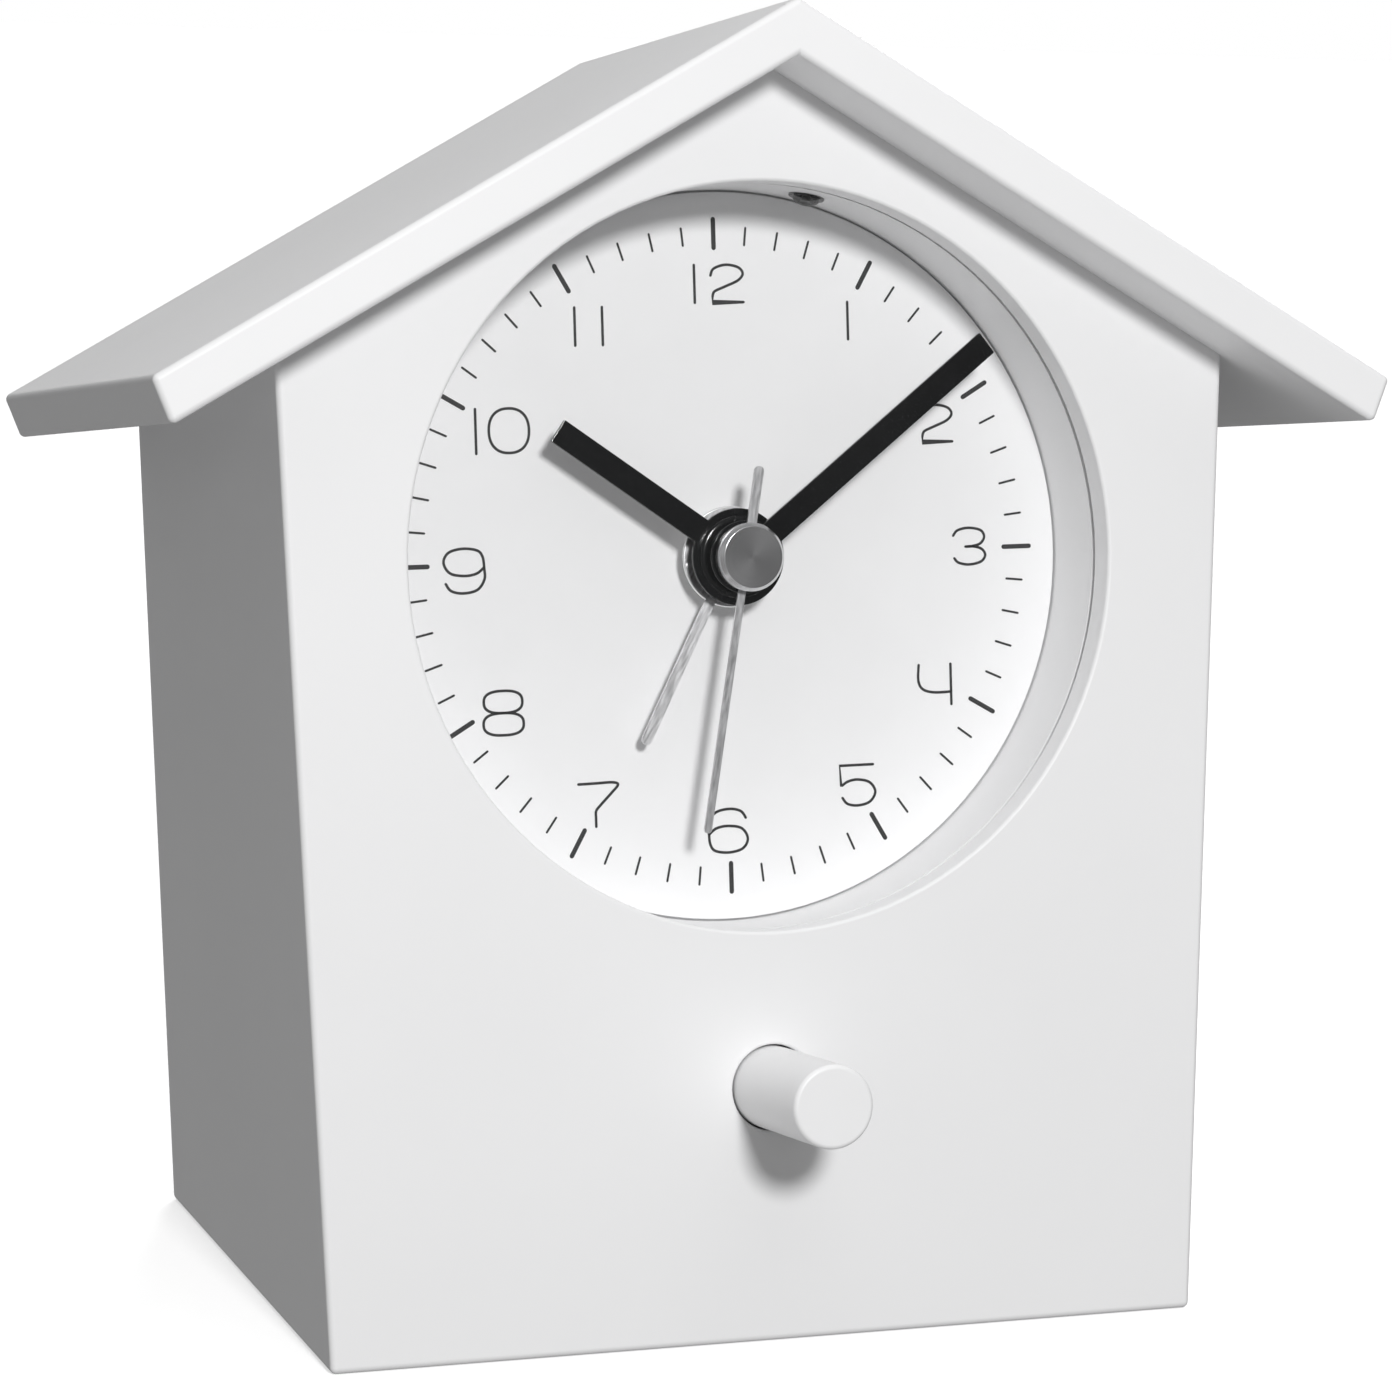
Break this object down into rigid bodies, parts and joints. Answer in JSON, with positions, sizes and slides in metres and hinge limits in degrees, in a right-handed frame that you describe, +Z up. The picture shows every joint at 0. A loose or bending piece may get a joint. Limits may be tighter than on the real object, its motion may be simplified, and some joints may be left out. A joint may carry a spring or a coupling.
{
  "type": "birdhouse alarm clock",
  "caption": "Table alarm clock in a white birdhouse case with pitched roof, round recessed dial with hands, and a perch below it that is a push button.",
  "frame": {"origin": "centre of the flat underside that the clock stands on", "axes": "+Z up, -Y is the side that the dial faces, +X to the right as seen from the front"},
  "size_m": [0.14, 0.0939, 0.1442],
  "materials": {
    "white_lacquer": "satin white lacquer on fibreboard",
    "bare_wood": "unfinished softwood",
    "white_button": "satin white lacquer",
    "clear_lens": "clear polished",
    "cup_plastic": "satin white moulding",
    "dial_print": "printed matt white",
    "lamp_lens": "clear moulded",
    "black_hand": "gloss black",
    "silver_hand": "satin silver",
    "brushed_cap": "brushed",
    "case_plastic": "moulded",
    "gear_plastic": "moulded acetal",
    "copper_wire": "enamelled copper winding",
    "steel": "plated",
    "magnet": "sintered ferrite",
    "back_plastic": "fine textured moulding",
    "knob_plastic": "moulded",
    "board_green": "solder mask",
    "black_plastic": "moulded",
    "capacitor_sleeve": "sleeved can",
    "cell_wrap": "plain wrapped cell",
    "cone_paper": "pressed paper"
  },
  "bodies": {
    "case": {"aa_cells": "cell_wrap", "back_cover": "back_plastic", "back_cover_screws": "steel", "base_board": "white_lacquer", "battery_plates": "steel", "battery_springs": "steel", "board_capacitors": "capacitor_sleeve", "button_board": "board_green", "button_housing": "case_plastic", "coil_bobbin": "case_plastic", "coil_winding": "copper_wire", "cover_blocks": "bare_wood", "dial_cup": "cup_plastic", "dial_led": "lamp_lens", "dial_plate": "dial_print", "front_panel": "white_lacquer", "left_roof_board": "white_lacquer", "left_wall": "white_lacquer", "lens": "clear_lens", "main_board": "board_green", "mode_switch_body": "case_plastic", "movement_front_case": "case_plastic", "movement_rear_case": "case_plastic", "quartz_crystal": "steel", "return_spring": "steel", "right_roof_board": "white_lacquer", "right_wall": "white_lacquer", "small_screws": "steel", "sound_chip": "black_plastic", "speaker_cone": "cone_paper", "speaker_frame": "steel", "speaker_magnet": "magnet", "stator": "steel", "tactile_switch": "black_plastic", "volume_pot": "case_plastic"},
    "minute": {"minute_hand": "black_hand", "cannon_pinion": "gear_plastic"},
    "hour": {"hour_hand": "black_hand", "hour_wheel": "gear_plastic"},
    "motion": {"motion_wheel": "gear_plastic"},
    "time_setting": {"time_setting_gear": "gear_plastic", "time_knob": "knob_plastic"},
    "second": {"second_hand": "silver_hand", "second_hand_cap": "brushed_cap", "second_wheel": "gear_plastic"},
    "third": {"third_wheel": "gear_plastic"},
    "centre": {"centre_wheel": "gear_plastic"},
    "intermediate": {"intermediate_wheel": "gear_plastic"},
    "rotor": {"rotor_pinion": "gear_plastic", "rotor_magnet": "magnet"},
    "alarm": {"alarm_hand": "silver_hand", "alarm_wheel": "gear_plastic"},
    "alarm_setting": {"alarm_setting_gear": "gear_plastic", "alarm_knob": "knob_plastic"},
    "perch": {"perch_button": "white_button"},
    "door": {"battery_door": "back_plastic"},
    "volume": {"volume_knob": "knob_plastic"},
    "mode_switch": {"mode_switch_slider": "knob_plastic"}
  },
  "joints": [
    {"name": "minute_turn", "type": "hinge", "parent": "case", "child": "minute", "pos_m": [0, -0.01582, 0.08348], "axis": [0, 0.991, -0.134], "continuous": true},
    {"name": "hour_turn", "type": "hinge", "parent": "case", "child": "hour", "pos_m": [0, -0.01384, 0.08321], "axis": [0, 0.991, -0.134], "continuous": true},
    {"name": "motion_wheel_turn", "type": "hinge", "parent": "case", "child": "motion", "pos_m": [0.009, -0.00205, 0.08162], "axis": [0, 0.991, -0.134], "continuous": true},
    {"name": "time_setting_turn", "type": "hinge", "parent": "case", "child": "time_setting", "pos_m": [0.01463, 0.03381, 0.06694], "axis": [0, 0.991, -0.134], "continuous": true},
    {"name": "second_turn", "type": "hinge", "parent": "case", "child": "second", "pos_m": [0, -0.01637, 0.08355], "axis": [0, 0.991, -0.134], "continuous": true},
    {"name": "third_wheel_turn", "type": "hinge", "parent": "case", "child": "third", "pos_m": [-0.0068, 0.0023, 0.09291], "axis": [0, 0.991, -0.134], "continuous": true},
    {"name": "centre_wheel_turn", "type": "hinge", "parent": "case", "child": "centre", "pos_m": [0, -0.00066, 0.08143], "axis": [0, 0.991, -0.134], "continuous": true},
    {"name": "intermediate_wheel_turn", "type": "hinge", "parent": "case", "child": "intermediate", "pos_m": [0, 0.002, 0.06977], "axis": [0, 0.991, -0.134], "continuous": true},
    {"name": "rotor_turn", "type": "hinge", "parent": "case", "child": "rotor", "pos_m": [-0.00831, 0.00274, 0.06482], "axis": [0, 0.991, -0.134], "continuous": true},
    {"name": "alarm_setting_turn", "type": "hinge", "parent": "case", "child": "alarm_setting", "pos_m": [-0.01353, 0.03445, 0.07171], "axis": [0, 0.991, -0.134], "continuous": true},
    {"name": "alarm_turn", "type": "hinge", "parent": "case", "child": "alarm", "pos_m": [0, -0.01137, 0.08288], "axis": [0, 0.991, -0.134], "continuous": true},
    {"name": "perch_press", "type": "slide", "parent": "case", "child": "perch", "axis": [0, 0.991, -0.134], "range_m": [0, 0.0016], "stiffness_N_per_m": 400, "springref_m": -0.0015, "deforming": ["return_spring"]},
    {"name": "battery_door_hinge", "type": "hinge", "parent": "case", "child": "door", "pos_m": [0, 0.02659, 0.00761], "axis": [-1, 0, 0], "range_deg": [0, 85]},
    {"name": "volume_turn", "type": "hinge", "parent": "case", "child": "volume", "pos_m": [0.0335, 0.03522, 0.07739], "axis": [0, 0.991, -0.134], "range_deg": [-140, 140]},
    {"name": "mode_switch_slide", "type": "slide", "parent": "case", "child": "mode_switch", "axis": [1, 0, 0], "range_m": [-0.002, 0.002]}
  ],
  "couplings": [
    {"joint": "hour_turn", "follows": "minute_turn", "ratio": 0.083333},
    {"joint": "motion_wheel_turn", "follows": "minute_turn", "ratio": -0.33333},
    {"joint": "time_setting_turn", "follows": "minute_turn", "ratio": 0.5},
    {"joint": "third_wheel_turn", "follows": "second_turn", "ratio": -0.13333},
    {"joint": "centre_wheel_turn", "follows": "second_turn", "ratio": 0.016667},
    {"joint": "intermediate_wheel_turn", "follows": "second_turn", "ratio": -6},
    {"joint": "rotor_turn", "follows": "second_turn", "ratio": 30},
    {"joint": "alarm_turn", "follows": "alarm_setting_turn", "ratio": -1}
  ]
}
